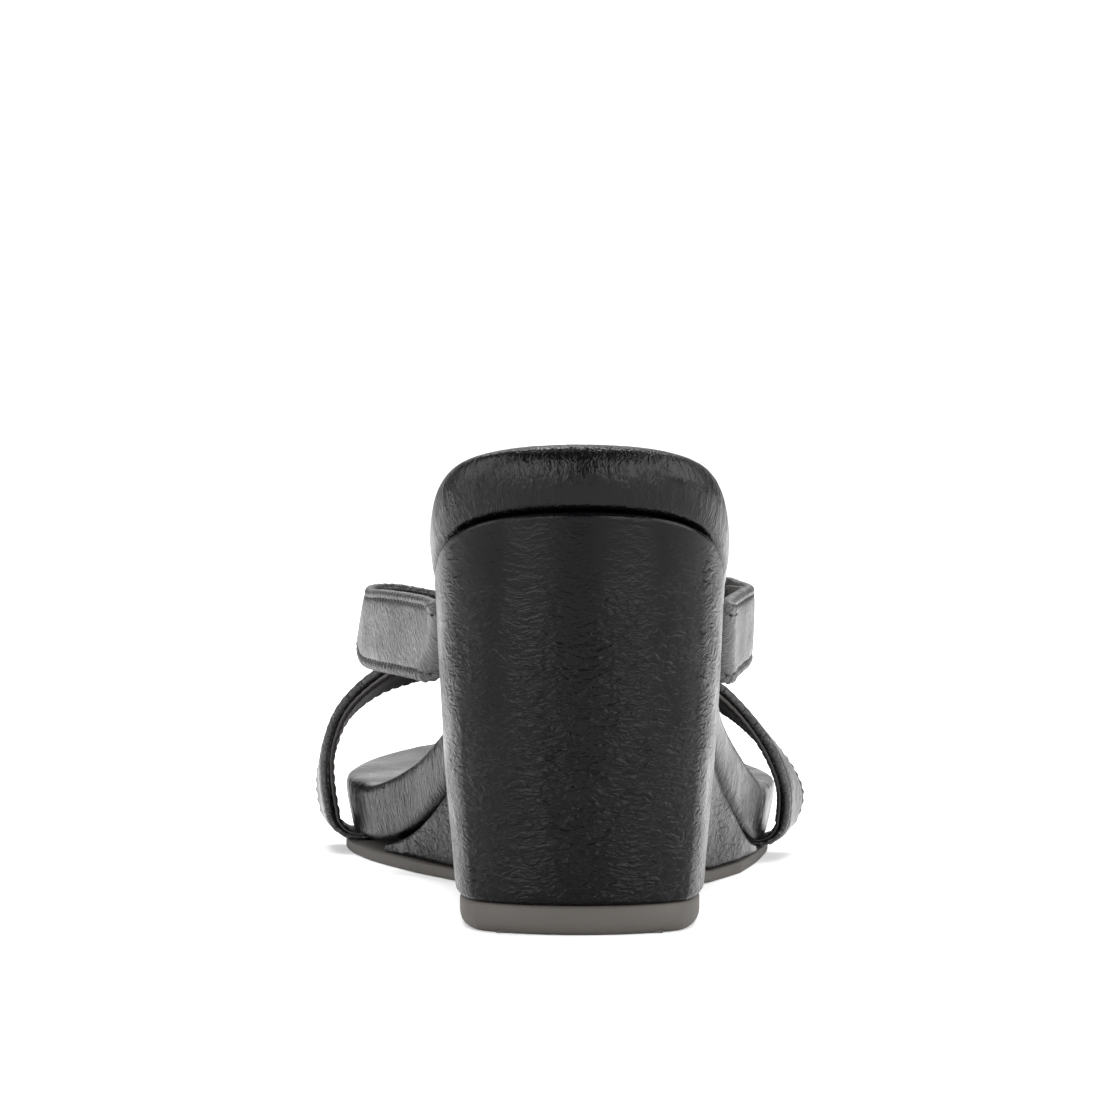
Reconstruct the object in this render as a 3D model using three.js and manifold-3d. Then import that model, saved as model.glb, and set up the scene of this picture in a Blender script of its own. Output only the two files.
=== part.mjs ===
// Right-foot wedge mule: a leather-wrapped wedge, a padded footbed and two straps that cross over the foot.
// Millimetres. +Z is up, the toe points to +Y and the outer (little toe) side is +X.
import * as THREE from 'three';
import { mergeVertices } from 'three/addons/utils/BufferGeometryUtils.js';
import Module from 'manifold-3d';

const wasm = await Module();
wasm.setup();

// Driving dimensions
const soleLength = 230; // heel back to toe tip, along the floor
const heelRise = 82.7; // floor to the wedge's upper edge at the heel back
const heelHalfWidth = 29.4; // widest half of the heel seat
const ballMedial = 49.3; // centre line to the big toe joint
const ballLateral = 41.2; // centre line to the little toe joint
const waistMedial = 25.6;
const waistLateral = 28;
const footbedThick = 13.8; // padded footbed, groove included
const leatherThick = 1; // cover, wedge wrap and strap face
const fit = 0.3; // gap between two pieces that touch
const outsoleThick = 2.2;
const topLiftThick = 5.6;
const topLiftLength = 62;
const heelDraft = 5; // how far the wedge narrows at each side, top to bottom
const toeSpring = 3;
const archRise = 3; // hollow of the wedge's underside at the waist
const insoleThick = 1.6;
const strapWidth = 17;
const strapTape = 0.5; // reinforcement inside a strap
const strapLining = 0.6;
const tabReach = 9; // length of strap tucked under the footbed
const flangeReach = 11; // width of the cover turned under the insole
const wrapTurn = 8; // width of the wrap turned under the wedge
const wallThick = 4; // moulded wedge wall
const ribThick = 5; // ribs between the wedge's pockets
const shankLength = 84;
const shankWidth = 12;
const shankThick = 1.2;
const rivetRadius = 1.6;
const screwRadius = 2;
const screwLength = 24;
const nailRadius = 1;
const nailLength = 13;
const cushionThick = 3; // soft inset under the heel
const cushionHalfWidth = 19;

const patternLength = 230; // sole length that the pattern's stations are drawn for
const patternWidth = 17; // strap width that the crossing's rises are drawn for
const strapThick = leatherThick + strapTape + strapLining + 2 * fit;
const groove = leatherThick + 2 * fit; // slit between wedge and footbed that holds the strap ends

const along = (station) => (station * soleLength) / patternLength;

// The wedge's upper edge seen from the side: steep at the waist, flat under the ball
const seamCurve = new THREE.CubicBezierCurve(
  new THREE.Vector2(0, heelRise),
  new THREE.Vector2(along(55), heelRise * 0.805),
  new THREE.Vector2(along(100), outsoleThick),
  new THREE.Vector2(along(152), outsoleThick),
);
const seamPoints = seamCurve.getPoints(240);

const springAt = (y) => toeSpring * Math.max(0, (y - along(185)) / along(45)) ** 2;

function seamHeight(y) {
  if (y >= along(152)) return outsoleThick + springAt(y);
  const next = Math.max(1, seamPoints.findIndex((p) => p.x > y));
  const a = seamPoints[next - 1];
  const b = seamPoints[next];
  return a.y + ((b.y - a.y) * (y - a.x)) / (b.x - a.x);
}

const slopeAt = (y) => seamHeight(Math.max(y, 0) + 1) - seamHeight(Math.max(y, 0)); // rise over 1 mm

// Height of a layer that lies a given thickness above the wedge's upper edge, square to it
const layer = (thick) => (y) => seamHeight(y) + thick * Math.hypot(1, slopeAt(y));

// Underside of wedge and sole: flat heel seat, hollow waist, flat forefoot
const heelBase = topLiftThick + fit;
const forefootStart = 104; // station where the outsole meets the floor

function undersideHeight(y) {
  const start = topLiftLength + 1;
  const end = along(forefootStart);
  if (y <= start) return heelBase;
  if (y >= end) return outsoleThick + fit + springAt(y);
  const u = (y - start) / (end - start);
  const line = heelBase + (outsoleThick + fit - heelBase) * u * u * (3 - 2 * u);
  return line + archRise * Math.sin(Math.PI * u) ** 2;
}

// Plan outline, heel centre, inner side, toe tip, outer side
const outline = new THREE.CatmullRomCurve3(
  [
    [0, 0],
    [-0.52 * heelHalfWidth, 3.8],
    [-0.87 * heelHalfWidth, 14],
    [-heelHalfWidth, 32],
    [-waistMedial - 0.4, 62],
    [-waistMedial + 0.2, 92],
    [-0.68 * ballMedial, 119],
    [-0.9 * ballMedial, 147],
    [-ballMedial, 172],
    [-0.91 * ballMedial, 203],
    [-0.66 * ballMedial, 221],
    [-0.26 * ballMedial, 230],
    [0.33 * ballLateral, 225],
    [0.76 * ballLateral, 208],
    [ballLateral, 174],
    [0.965 * ballLateral, 148],
    [0.84 * ballLateral, 119],
    [waistLateral + 0.8, 92],
    [waistLateral - 0.3, 62],
    [heelHalfWidth, 32],
    [0.87 * heelHalfWidth, 14],
    [0.52 * heelHalfWidth, 3.8],
  ].map(([x, y]) => new THREE.Vector3(x, along(y), 0)),
  true,
  'centripetal',
);
const perSide = 28;
const edge = Array.from({ length: 2 * perSide }, (_, i) => {
  const point = outline.getPoint(i / (2 * perSide));
  const tangent = outline.getTangent(i / (2 * perSide));
  return { point, inward: new THREE.Vector3(tangent.y, -tangent.x, 0) };
});

// x of the outline at a station; side is -1 for the inner edge, 1 for the outer one
function edgeAt(side, y) {
  const points = side < 0 ? edge.slice(0, perSide + 1) : [edge[0], ...edge.slice(perSide).reverse()];
  const next = Math.max(1, points.findIndex((p) => p.point.y > y));
  const a = points[next - 1].point;
  const b = points[next].point;
  return a.x + ((b.x - a.x) * (y - a.y)) / (b.y - a.y);
}

// Solids
function solidFrom(vertices, triangles) {
  const geometry = new THREE.BufferGeometry();
  geometry.setAttribute('position', new THREE.Float32BufferAttribute(vertices, 3));
  geometry.setIndex(triangles);
  return toSolid(geometry);
}

function toSolid(source) {
  const bare = source.clone();
  bare.deleteAttribute('normal');
  bare.deleteAttribute('uv');
  const merged = mergeVertices(bare, 1e-4);
  const triVerts = new Uint32Array(merged.index.array);
  const kept = [];
  for (let i = 0; i < triVerts.length; i += 3) {
    const [a, b, c] = triVerts.slice(i, i + 3);
    if (a !== b && b !== c && a !== c) kept.push(a, b, c);
  }
  const vertProperties = merged.attributes.position.array;
  const make = (order) => new wasm.Manifold(new wasm.Mesh({ numProp: 3, vertProperties, triVerts: order }));
  const solid = make(new Uint32Array(kept));
  if (solid.volume() > 0) return solid;
  for (let i = 0; i < kept.length; i += 3) [kept[i + 1], kept[i + 2]] = [kept[i + 2], kept[i + 1]];
  return make(new Uint32Array(kept));
}

function toGeometry(solid) {
  const mesh = solid.getMesh();
  const geometry = new THREE.BufferGeometry();
  const positions = new Float32Array(mesh.numVert * 3);
  for (let i = 0; i < mesh.numVert; i += 1) {
    for (let axis = 0; axis < 3; axis += 1) {
      positions[3 * i + axis] = mesh.vertProperties[mesh.numProp * i + axis];
    }
  }
  geometry.setAttribute('position', new THREE.BufferAttribute(positions, 3));
  geometry.setIndex(new THREE.BufferAttribute(new Uint32Array(mesh.triVerts), 1));
  geometry.computeVertexNormals();
  return geometry;
}

// A body that follows the sole outline. Each level is a ring, lowest first: its inset and its height.
function soleBody(levels, columns = 2) {
  const vertices = [];
  const count = edge.length;
  const rings = levels.map(({ inset, height }) =>
    edge.map(({ point, inward }) => {
      const reach = typeof inset === 'function' ? inset(point.y) : inset;
      const p = point.clone().addScaledVector(inward, reach);
      p.z = height(p.y);
      return p;
    }),
  );
  const add = (p) => vertices.push(p.x, p.y, p.z) / 3 - 1;
  const ids = rings.map((ring) => ring.map(add));
  const triangles = [];
  const quad = (a, b, c, d) => triangles.push(a, b, c, a, c, d);
  for (let level = 1; level < ids.length; level += 1) {
    for (let i = 0; i < count; i += 1) {
      const j = (i + 1) % count;
      quad(ids[level - 1][i], ids[level][i], ids[level][j], ids[level - 1][j]);
    }
  }
  const cap = (which, flip) => {
    const { height } = levels[which];
    const rows = [];
    for (let i = 0; i <= perSide; i += 1) {
      const left = rings[which][i];
      const right = rings[which][(count - i) % count];
      const row = [ids[which][i]];
      for (let j = 1; j < columns; j += 1) {
        const p = left.clone().lerp(right, j / columns);
        p.z = height(p.y);
        row.push(i === 0 || i === perSide ? ids[which][i] : add(p));
      }
      row.push(ids[which][(count - i) % count]);
      rows.push(row);
    }
    for (let i = 0; i < perSide; i += 1) {
      for (let j = 0; j < columns; j += 1) {
        const corners = [rows[i][j], rows[i][j + 1], rows[i + 1][j + 1], rows[i + 1][j]];
        if (flip) corners.reverse();
        quad(...corners);
      }
    }
  };
  cap(0, true);
  cap(levels.length - 1, false);
  return solidFrom(vertices, triangles);
}

// A slab between two height curves, as wide as asked. All slabs share their stations, so none cross.
const stationPitch = 7;

function slab(low, high, from, to, x0 = -90, x1 = 90) {
  const ys = [from];
  for (let i = Math.floor(from / stationPitch) + 1; i * stationPitch < to; i += 1) ys.push(i * stationPitch);
  ys.push(to);
  const lower = ys.map((y) => new THREE.Vector2(y, low(y)));
  const upper = ys.map((y) => new THREE.Vector2(y, high(y)));
  const shape = new THREE.Shape([...lower, ...upper.toReversed()]);
  const geometry = new THREE.ExtrudeGeometry(shape, { depth: x1 - x0, bevelEnabled: false });
  geometry.applyMatrix4(
    new THREE.Matrix4().makeBasis(
      new THREE.Vector3(0, 1, 0),
      new THREE.Vector3(0, 0, 1),
      new THREE.Vector3(1, 0, 0),
    ),
  );
  geometry.translate(x0, 0, 0);
  return toSolid(geometry);
}

const flat = (z) => () => z;
const raised = (curve, by) => (y) => curve(y) + by;
const wholeLength = [-20, soleLength + 20];

// Turns a shape drawn round +Z so that it stands square on the sloping wedge at a station
function onSlope(geometry, x, y) {
  geometry.rotateX(Math.atan(slopeAt(y)));
  geometry.translate(x, y, seamHeight(y));
  return geometry;
}

const lathe = (profile, segments = 14) =>
  new THREE.LatheGeometry(profile.map(([r, z]) => new THREE.Vector2(r, z)), segments).rotateX(Math.PI / 2);

// Footbed: padded body with rounded edges, made smaller by a margin for the layers inside it
function pillow(margin) {
  const low = layer(groove + margin);
  const high = layer(footbedThick - margin);
  const mix = (share, extra) => (y) => low(y) + (high(y) - low(y)) * share + extra;
  return soleBody([
    { inset: 3 + margin, height: low },
    { inset: 1.1 + margin, height: mix(0, 1) },
    { inset: 0.2 + margin, height: mix(0.25, 0) },
    { inset: margin, height: mix(0.5, 0) },
    { inset: 0.5 + margin, height: mix(0.8, 0) },
    { inset: 2 + margin, height: mix(1, -0.9) },
    { inset: 5 + margin, height: high },
  ]);
}

const boardLow = groove + leatherThick + fit;
const boardHigh = boardLow + insoleThick;
const foamLow = boardHigh + fit;
const foamHigh = footbedThick - leatherThick - fit;

const insole = pillow(leatherThick + fit);
const shoeCover = () => {
  const opening = soleBody([
    { inset: flangeReach, height: layer(-5) },
    { inset: flangeReach, height: layer(boardHigh) },
  ]);
  return pillow(0).subtract(pillow(leatherThick)).subtract(opening);
};

// Wedge: walls run straight from the seam outline down to a smaller base
const baseInset = (y) => {
  const waist = along(88);
  const share = Math.min(1, Math.max(0, (y - waist) / along(32)));
  const back = 2.5 * Math.max(0, 1 - y / 14);
  return (heelDraft + back) * (1 - share) + 0.8 * share;
};
const seamInset = 0.9;
const topReach = 6; // how far the wall's ruled lines run past the seam before they are cut

function wedgeWalls(margin) {
  const past = (y) => {
    const drop = seamHeight(y) - undersideHeight(y);
    const draft = drop > 4 ? ((baseInset(y) - seamInset) * topReach) / drop : 0;
    return Math.max(seamInset - draft, seamInset - 1) + margin;
  };
  return soleBody([
    { inset: (y) => baseInset(y) + margin, height: raised(undersideHeight, -4) },
    { inset: past, height: raised(seamHeight, topReach) },
  ]);
}

// Station where the wedge has thinned to a given height
function wedgeEnd(thin) {
  let y = along(100);
  while (seamHeight(y) - undersideHeight(y) > thin) y += 0.5;
  return y;
}

const wrapEnd = wedgeEnd(1);
const coreLow = raised(undersideHeight, leatherThick + fit);
const coreEnd = wedgeEnd(leatherThick + fit + 1.2);

function wedgeWrap() {
  const outer = wedgeWalls(0).intersect(slab(undersideHeight, seamHeight, -10, wrapEnd));
  const inner = wedgeWalls(leatherThick).intersect(
    slab(raised(undersideHeight, leatherThick), layer(footbedThick), ...wholeLength),
  );
  const opening = soleBody([
    { inset: (y) => baseInset(y) + wrapTurn, height: flat(-5) },
    { inset: (y) => baseInset(y) + wrapTurn, height: layer(footbedThick) },
  ]);
  return outer.subtract(inner).subtract(opening);
}

// Moulded-in pockets each side of a middle rib, as stations from and to
const pocketRows = [
  [12, 30],
  [35, 52],
  [57, 74],
];
const pocketWidth = 16;

function wedgeCore() {
  let core = wedgeWalls(leatherThick + fit).intersect(slab(coreLow, seamHeight, -10, coreEnd));
  const room = wedgeWalls(leatherThick + fit + wallThick);
  for (const [from, to] of pocketRows) {
    for (const x0 of [ribThick, -ribThick - pocketWidth]) {
      const box = slab(
        raised(coreLow, wallThick),
        layer(footbedThick),
        along(from),
        along(to),
        x0,
        x0 + pocketWidth,
      );
      core = core.subtract(room.intersect(box));
    }
  }
  return core;
}

// Fasteners
const screwStations = [22, 45, 66].map(along);
const rivetStations = [82, 108].map(along);
const nailPlaces = [
  [0, 18],
  [0, 54],
  [-14, 32.5],
  [14, 32.5],
].map(([x, y]) => [x, along(y)]);
const screwHead = 0.8; // how far a countersunk head's cone runs into the board
const shankBack = screwStations[1] + 1.75 * screwRadius; // the shank starts just ahead of the middle screw

const screwShape = (grow) =>
  lathe([
    [0, boardHigh - screwLength - grow],
    [screwRadius * 0.5 + grow, boardHigh - screwLength + 3 - grow],
    [screwRadius + grow, boardHigh - screwLength + 8],
    [screwRadius + grow, boardHigh - screwHead - grow],
    [2 * screwRadius + grow, boardHigh - grow * 0.2],
    [2 * screwRadius + grow, boardHigh + grow],
    [0, boardHigh + grow],
  ]);

const rivetShape = (grow) =>
  lathe([
    [0, groove - 0.2 - grow],
    [rivetRadius + grow, groove - 0.2 - grow],
    [rivetRadius + grow, boardHigh - 0.5 - grow],
    [2 * rivetRadius + grow, boardHigh - 0.5 - grow],
    [2 * rivetRadius + grow, boardHigh + grow],
    [0, boardHigh + grow],
  ]);

const nailShape = (grow) =>
  lathe([
    [0, 2 - grow * 9],
    [2.6 * nailRadius + grow, 2 - grow * 9],
    [2.6 * nailRadius + grow, 3 + grow],
    [nailRadius + grow, 3 + grow],
    [nailRadius + grow, nailLength + grow],
    [0, nailLength + 2 + grow],
  ], 12);

const screws = (grow) => screwStations.map((y) => toSolid(onSlope(screwShape(grow), 0, y)));
const rivets = (grow) => rivetStations.map((y) => toSolid(onSlope(rivetShape(grow), 0, y)));
const nails = (grow) => nailPlaces.map(([x, y]) => toSolid(nailShape(grow).translate(x, y, 0)));
const cutAll = (solid, tools) => tools.reduce((left, tool) => left.subtract(tool), solid);

const shankSlab = (grow) =>
  slab(
    layer(groove - grow),
    layer(groove + shankThick + grow),
    shankBack - grow,
    shankBack + shankLength + grow,
    -shankWidth / 2 - grow,
    shankWidth / 2 + grow,
  );

// Straps: the rear edge's path over the foot, and which way the strap lies from it
function beside(side, station, out, rise) {
  const y = along(station);
  const x = edgeAt(side, y) + side * (strapThick + fit + out);
  return new THREE.Vector3(x, y, layer(footbedThick)(y) + rise);
}

function across(station, share, rise) {
  const y = along(station);
  const x = THREE.MathUtils.mapLinear(share, -1, 1, edgeAt(-1, y), edgeAt(1, y));
  return new THREE.Vector3(x, y, layer(footbedThick)(y) + rise);
}

const down = [0, 0, -1];
const underStrapPath = [
  [beside(-1, 36, 0, -20), down],
  [beside(-1, 55, 0.1, -7.7), down],
  [beside(-1, 75, 6.4, 6.7), [-0.03, 0.05, -1]],
  [beside(-1, 97, 11.7, 22.1), [-0.05, 0.15, -0.98]],
  [beside(-1, 114, 9.3, 32), [-0.1, 0.35, -0.93]],
  [across(123, -1.24, 37.2), [-0.15, 0.72, -0.68]],
  [across(128, -1.06, 39.2), [-0.06, 0.93, -0.36]],
  [across(130.5, -0.78, 38.4), [0, 0.93, -0.36]],
  [across(132, -0.38, 35.2), [0.02, 0.93, -0.37]],
  [across(133.5, 0.02, 32.2), [0.03, 0.93, -0.37]],
  [across(135.5, 0.42, 28), [0.04, 0.93, -0.37]],
  [across(138, 0.72, 22.7), [0.03, 0.95, -0.33]],
  [across(141, 0.91, 16.4), [0.05, 0.97, -0.22]],
  [across(143, 1.05, 8.2), [0.14, 0.97, -0.18]],
  [beside(1, 145, 2, 0), [0.2, 0.98, -0.08]],
  [beside(1, 146, 2.1, -6.3), [0.2, 0.98, 0]],
  [beside(1, 146.5, 1.1, -12.5), [0.12, 0.99, 0]],
  [beside(1, 146.5, 0.2, -18), [0.06, 1, 0]],
];

// How much higher the over strap rides: its thickness, and more where wider straps twist apart
const overLap = strapThick + fit + 0.5 * (strapWidth - patternWidth);
const overStrapPath = [
  [beside(1, 36, 0, -20), down],
  [beside(1, 55, 0.1, -8), down],
  [beside(1, 75, 1.4, 6.3), [-0.01, 0.1, -1]],
  [beside(1, 97, 2.9, 22.5), [-0.03, 0.2, -0.98]],
  [beside(1, 108, 1.2, 29.6), [-0.03, 0.4, -0.91]],
  [across(116, 1.01, 34.7), [0, 0.75, -0.65]],
  [across(121, 0.88, 35), [0.02, 0.93, -0.36]],
  [across(127, 0.56, 36), [0.42, 0.83, -0.36]],
  [across(134, 0.23, 36.2), [0.4, 0.84, -0.36]],
  [across(142.5, -0.15, 35.2), [0.38, 0.86, -0.35]],
  [across(152, -0.53, 30.2), [0.3, 0.9, -0.33]],
  [across(158, -0.76, 24.2), [0.15, 0.94, -0.3]],
  [across(160.5, -0.9, 23.3), [0, 0.97, -0.25]],
  [beside(-1, 161.5, 0.1, 16), [-0.02, 0.98, -0.18]],
  [beside(-1, 162, 3.4, 7.3), [-0.03, 1, -0.15]],
  [beside(-1, 162, 3.8, 1), [-0.07, 1, -0.05]],
  [beside(-1, 162, 3, -5.5), [-0.12, 1, 0]],
  [beside(-1, 162, 1.6, -12.5), [-0.1, 1, 0]],
  [beside(-1, 162, 0.4, -18), [-0.05, 1, 0]],
];
for (const [point] of overStrapPath.slice(6, 12)) point.z += overLap;

const strapSteps = 42;

// A layer of a strap: the section is drawn as [across the strap, depth below its face]
function strapBody(path, turn, section) {
  const rear = new THREE.CatmullRomCurve3(path.map(([point]) => point), false, 'centripetal');
  const turns = path.map(([, lie]) => new THREE.Vector3(...lie));
  const lies = new THREE.CatmullRomCurve3(turns, false, 'catmullrom', 0.5);
  const vertices = [];
  for (let i = 0; i <= strapSteps; i += 1) {
    const u = i / strapSteps;
    const start = rear.getPoint(u);
    const lie = lies.getPoint(u).normalize();
    const outward = new THREE.Vector3().crossVectors(rear.getTangent(u), lie);
    outward.setLength(turn);
    for (const [w, depth] of section) {
      const p = start.clone().addScaledVector(lie, w).addScaledVector(outward, -depth);
      vertices.push(p.x, p.y, p.z);
    }
  }
  const count = section.length;
  const triangles = [];
  for (let i = 0; i < strapSteps; i += 1) {
    for (let j = 0; j < count; j += 1) {
      const k = (j + 1) % count;
      const a = i * count;
      const b = a + count;
      triangles.push(a + j, b + j, b + k, a + j, b + k, a + k);
    }
  }
  const flatSection = section.map(([w, d]) => new THREE.Vector2(w, d));
  const area = THREE.ShapeUtils.area(flatSection);
  const last = strapSteps * count;
  for (const [a, b, c] of THREE.ShapeUtils.triangulateShape(flatSection, [])) {
    const turned = THREE.ShapeUtils.area([a, b, c].map((k) => flatSection[k])) * area < 0;
    const [p, q, r] = turned ? [a, c, b] : [a, b, c];
    triangles.push(p, q, r, last + p, last + r, last + q);
  }
  return solidFrom(vertices, triangles);
}

const belowSeam = (margin) => slab(layer(-80), layer(margin), ...wholeLength);
const faceDepth = leatherThick + strapTape + fit;

const cuts = [1 / 3, 2 / 3].map((share) => share * strapWidth);
const faceSection = [
  [0, 0],
  ...cuts.map((w) => [w, 0]),
  [strapWidth, 0],
  [strapWidth, faceDepth],
  [strapWidth - leatherThick, faceDepth],
  [strapWidth - leatherThick, leatherThick],
  ...cuts.toReversed().map((w) => [w, leatherThick]),
  [leatherThick, leatherThick],
  [leatherThick, faceDepth],
  [0, faceDepth],
];
const boxSection = (inset, top, bottom) => [
  [inset, top],
  ...cuts.map((w) => [w, top]),
  [strapWidth - inset, top],
  [strapWidth - inset, bottom],
  ...cuts.toReversed().map((w) => [w, bottom]),
  [inset, bottom],
];

// Flat tab that goes into the groove, from just inside the strap's face to its end under the footbed
function strapTab(faceX, from, to) {
  const side = Math.sign(faceX);
  const outer = faceX - side * 0.3;
  const narrowest = Math.min(...[from, to].map((y) => Math.abs(edgeAt(side, y))));
  const inner = side * (narrowest - tabReach);
  const [x0, x1] = [outer, inner].toSorted((a, b) => a - b);
  return slab(layer(fit), layer(fit + leatherThick), from, to, x0, x1);
}

// Station where the seam has dropped to a given height
function seamStation(z) {
  let y = 0;
  while (seamHeight(y) > z) y += 0.25;
  return y;
}

function strapParts(path, turn) {
  const rear = path[1][0];
  const front = path.at(-2)[0];
  const rearTab = strapTab(rear.x, seamStation(rear.z - 1.5), seamStation(rear.z - strapWidth + 1));
  const frontTab = strapTab(front.x, front.y + 0.5, front.y + strapWidth - 0.5);
  const face = strapBody(path, turn, faceSection).subtract(belowSeam(fit)).add(rearTab).add(frontTab);
  const inside = belowSeam(groove);
  const tapeSection = boxSection(leatherThick + fit, leatherThick + fit, faceDepth);
  const tape = strapBody(path, turn, tapeSection).subtract(inside);
  const lining = strapBody(path, turn, boxSection(0.7, faceDepth + fit, strapThick)).subtract(inside);
  return { face, tape, lining };
}

// Materials
const finish = (color, roughness, metalness = 0) =>
  new THREE.MeshStandardMaterial({ color, roughness, metalness });
const patent = finish(0x101114, 0.28);
const lining = finish(0x1b1918, 0.6);
const rubber = finish(0x2b2927, 0.85);
const plastic = finish(0xb9b4a8, 0.6);
const board = finish(0x9a7f5c, 0.9);
const foam = finish(0xd9cfae, 0.95);
const webbing = finish(0xcfcabd, 0.9);
const steel = finish(0xa7a9ac, 0.35, 1);

const shoe = new THREE.Group();

function put(name, solid, material) {
  const mesh = new THREE.Mesh(toGeometry(solid), material);
  mesh.name = name;
  shoe.add(mesh);
}

// Sole and heel
const outsoleStart = topLiftLength + 4;
const outsoleLow = raised(undersideHeight, -outsoleThick - fit);
const outsoleBody = soleBody([
  { inset: (y) => baseInset(y) + 0.6, height: flat(-8) },
  { inset: baseInset, height: raised(undersideHeight, 10) },
]).intersect(slab(outsoleLow, raised(undersideHeight, -fit), outsoleStart, soleLength + 20));
put('outsole', outsoleBody, rubber);

const liftInset = (y) => baseInset(y) + 0.8; // set in a little from the wedge's base
const liftBody = soleBody([
  { inset: (y) => liftInset(y) + 1.1, height: flat(0) },
  { inset: (y) => liftInset(y) + 0.3, height: flat(0.8) },
  { inset: liftInset, height: flat(2) },
  { inset: liftInset, height: flat(topLiftThick) },
]).intersect(slab(flat(-5), flat(20), -20, topLiftLength));
put('heel_top_lift', cutAll(liftBody, nails(fit)), rubber);

nails(0).forEach((nail, i) => put(`top_lift_nail_${i + 1}`, nail, steel));
put('wedge_core', cutAll(wedgeCore(), [...screws(fit), ...nails(fit)]), plastic);
put('wedge_wrap', cutAll(wedgeWrap(), nails(fit)), patent);

// Footbed
const fillerReach = flangeReach + leatherThick;
const fillerBody = soleBody([
  { inset: fillerReach, height: layer(fit) },
  { inset: fillerReach, height: layer(boardLow - fit) },
]);
put('bottom_filler', cutAll(fillerBody, [shankSlab(fit), ...screws(fit), ...rivets(fit)]), board);

const boardBody = insole.intersect(slab(layer(boardLow), layer(boardHigh), ...wholeLength));
put('insole_board', cutAll(boardBody, [...screws(fit), ...rivets(fit), shankSlab(fit)]), board);
put('shank', cutAll(shankSlab(0), [...screws(fit), ...rivets(fit)]), steel);
rivets(0).forEach((rivet, i) => put(`shank_rivet_${i + 1}`, rivet, steel));
screws(0).forEach((screw, i) => put(`heel_screw_${i + 1}`, screw, steel));

const heelPad = (grow) => {
  const radius = cushionHalfWidth + grow;
  const oval = new THREE.CylinderGeometry(radius, radius, heelRise, 28).rotateX(Math.PI / 2);
  oval.scale(1, 1.25, 1).translate(0, along(31), heelRise);
  return toSolid(oval).intersect(
    slab(layer(foamHigh - cushionThick - grow), layer(foamHigh + 2 * grow), ...wholeLength),
  );
};
const foamBody = insole.intersect(slab(layer(foamLow), layer(2 * footbedThick), ...wholeLength));
put('footbed_foam', foamBody.subtract(heelPad(fit)), foam);
put('heel_cushion', heelPad(0), foam);
put('footbed_cover', shoeCover(), patent);

// Straps
const under = strapParts(underStrapPath, 1);
put('under_strap_face', under.face, patent);
put('under_strap_tape', under.tape, webbing);
put('under_strap_lining', under.lining, lining);
const over = strapParts(overStrapPath, -1);
put('over_strap_face', over.face, patent);
put('over_strap_tape', over.tape, webbing);
put('over_strap_lining', over.lining, lining);

// The part's origin is on the floor, under the middle of its box
const box = new THREE.Box3().setFromObject(shoe);
const middle = box.getCenter(new THREE.Vector3());
shoe.position.set(-middle.x, -middle.y, -box.min.z);

export default shoe;
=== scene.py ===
# Right wedge sandal in crinkled patent leather. Metres here, millimetres in the size dictionaries.
import math

import bmesh
import bpy
import numpy as np
from mathutils import Euler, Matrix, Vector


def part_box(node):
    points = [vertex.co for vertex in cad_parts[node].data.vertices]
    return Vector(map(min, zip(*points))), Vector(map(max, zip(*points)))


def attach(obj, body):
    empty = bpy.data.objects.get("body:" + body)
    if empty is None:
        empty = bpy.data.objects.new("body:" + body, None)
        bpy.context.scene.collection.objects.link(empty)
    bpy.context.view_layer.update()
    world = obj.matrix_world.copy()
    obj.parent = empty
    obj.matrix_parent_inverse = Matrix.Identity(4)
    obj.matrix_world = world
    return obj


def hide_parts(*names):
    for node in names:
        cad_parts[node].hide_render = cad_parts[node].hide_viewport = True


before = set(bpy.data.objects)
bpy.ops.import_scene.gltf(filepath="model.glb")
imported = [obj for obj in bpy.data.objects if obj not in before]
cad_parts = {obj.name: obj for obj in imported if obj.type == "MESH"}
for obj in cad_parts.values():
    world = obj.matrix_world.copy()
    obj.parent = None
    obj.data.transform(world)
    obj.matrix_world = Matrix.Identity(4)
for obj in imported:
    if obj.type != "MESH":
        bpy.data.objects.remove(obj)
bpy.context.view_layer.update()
print("frame loaded")

mm = 0.001


coverLow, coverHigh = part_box("footbed_cover")
screwLow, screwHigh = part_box("heel_screw_1")
centreLine = (screwLow.x + screwHigh.x) / 2 / mm  # frame x of the heel's middle
heelBack = coverLow.y / mm
soleLength = (coverHigh.y - coverLow.y) / mm

sole = {
    "heelRise": 82.7,  # floor to the wedge's upper edge
    "heelHalf": 29.4,
    "ballInner": 49.3,
    "ballOuter": 41.2,
    "waistInner": 25.6,
    "waistOuter": 28.0,
    "footbed": 13.8,
    "outsole": 2.2,
    "topLift": 5.6,
    "topLiftLength": 62.0,
    "draft": 5.0,  # wedge narrows by this at each side
    "toeSpring": 3.0,
    "arch": 3.0,
    "leather": 1.0,
    "fit": 0.3,
}
groove = sole["leather"] + 2 * sole["fit"]  # slit between wedge and footbed


patternLength = 230  # the stations are drawn for this length of sole


def along(station):
    return station * soleLength / patternLength


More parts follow.
